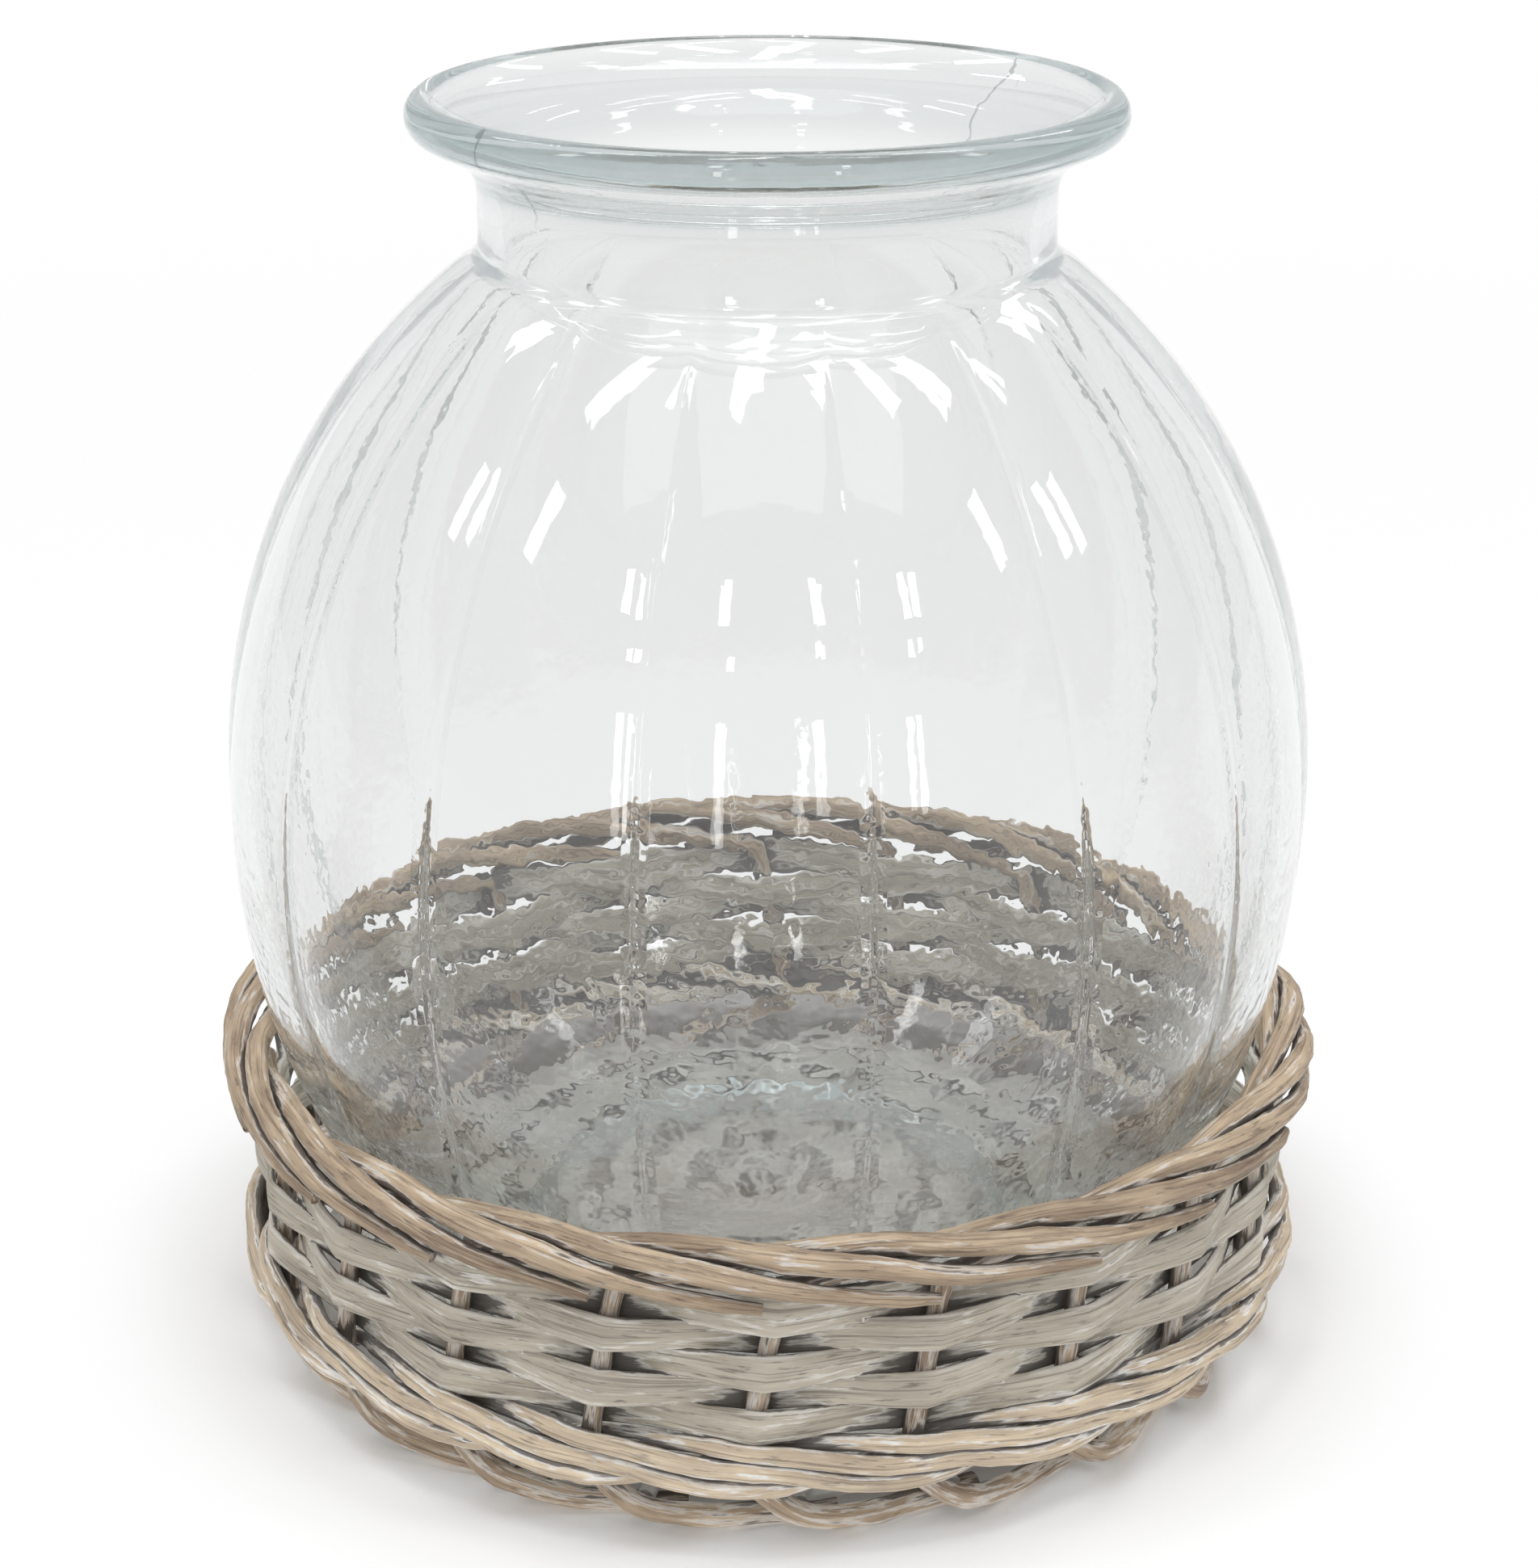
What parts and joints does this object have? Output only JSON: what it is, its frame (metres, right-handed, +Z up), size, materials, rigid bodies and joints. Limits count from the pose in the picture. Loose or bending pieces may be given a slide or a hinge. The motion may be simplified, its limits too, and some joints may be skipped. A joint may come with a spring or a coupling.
{
  "type": "vase in woven basket",
  "caption": "Round fluted clear glass vase with a short neck and flared rolled lip, standing loose in a low woven willow basket.",
  "frame": {"origin": "centre of the basket's foot, on the surface it stands on", "axes": "+Z up the vase's axis, -Y towards the front"},
  "size_m": [0.2476, 0.248, 0.2754],
  "materials": {
    "vase_glass": "clear moulded glass, slightly wavy",
    "border_willow": "warm tan willow rod, weathered",
    "wale_willow": "brown willow rod with white wash",
    "strip_willow": "greige split willow with white wash",
    "stick_willow": "dull willow stick",
    "floor_willow": "greige split willow, dull"
  },
  "bodies": {
    "basket": {"stake_01": "border_willow", "stake_02": "border_willow", "stake_03": "border_willow", "stake_04": "border_willow", "stake_05": "border_willow", "stake_06": "border_willow", "stake_07": "border_willow", "stake_08": "border_willow", "stake_09": "border_willow", "stake_10": "border_willow", "stake_11": "border_willow", "stake_12": "border_willow", "stake_13": "border_willow", "stake_14": "border_willow", "stake_15": "border_willow", "stake_16": "border_willow", "stake_17": "border_willow", "stake_18": "border_willow", "stake_19": "border_willow", "stake_20": "border_willow", "wale_rod_1": "wale_willow", "wale_rod_2": "wale_willow", "wale_rod_3": "wale_willow", "wale_rod_4": "wale_willow", "wall_strip_1": "strip_willow", "wall_strip_2": "strip_willow", "wall_strip_3": "strip_willow", "wall_strip_4": "strip_willow", "wall_strip_5": "strip_willow", "floor_stick_01": "stick_willow", "floor_stick_02": "stick_willow", "floor_stick_03": "stick_willow", "floor_stick_04": "stick_willow", "floor_stick_05": "stick_willow", "floor_stick_06": "stick_willow", "floor_stick_07": "stick_willow", "floor_stick_08": "stick_willow", "floor_stick_09": "stick_willow", "floor_stick_10": "stick_willow", "floor_strip_1": "floor_willow", "floor_strip_2": "floor_willow", "floor_strip_3": "floor_willow", "floor_strip_4": "floor_willow", "floor_strip_5": "floor_willow", "floor_strip_6": "floor_willow", "floor_strip_7": "floor_willow", "floor_strip_8": "floor_willow"},
    "vase": {"glass_vase": "vase_glass"}
  },
  "joints": [
    {"name": "vase_lift", "type": "slide", "parent": "basket", "child": "vase", "axis": [0, 0, 1], "range_m": [0, 0.09]}
  ]
}
